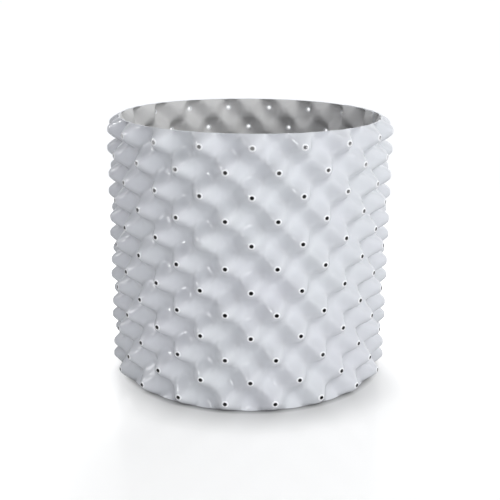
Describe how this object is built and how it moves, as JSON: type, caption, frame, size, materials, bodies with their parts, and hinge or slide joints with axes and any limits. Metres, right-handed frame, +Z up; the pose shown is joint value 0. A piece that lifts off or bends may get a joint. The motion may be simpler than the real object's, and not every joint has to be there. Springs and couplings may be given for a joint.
{
  "type": "air pruning pot",
  "caption": "Round open-topped plant pot of a rolled dimpled plastic sheet with a hole in each cone's tip, a bolted lap and a perforated drain plate.",
  "frame": {"origin": "on the pot's axis, in the plane that its foot stands on", "axes": "+Z up along the pot's axis, the front of the pot towards -Y, +X to the right seen from the front"},
  "size_m": [0.2724, 0.273, 0.25],
  "materials": {
    "sheet": "semi-gloss white",
    "plate": "semi-gloss dark grey",
    "fastener": "plain moulded white"
  },
  "bodies": {
    "root": {"side_wall": "sheet", "drain_plate": "plate", "seam_bolt_1": "fastener", "seam_bolt_2": "fastener", "seam_bolt_3": "fastener", "wing_nut_1": "fastener", "wing_nut_2": "fastener", "wing_nut_3": "fastener"}
  },
  "joints": []
}
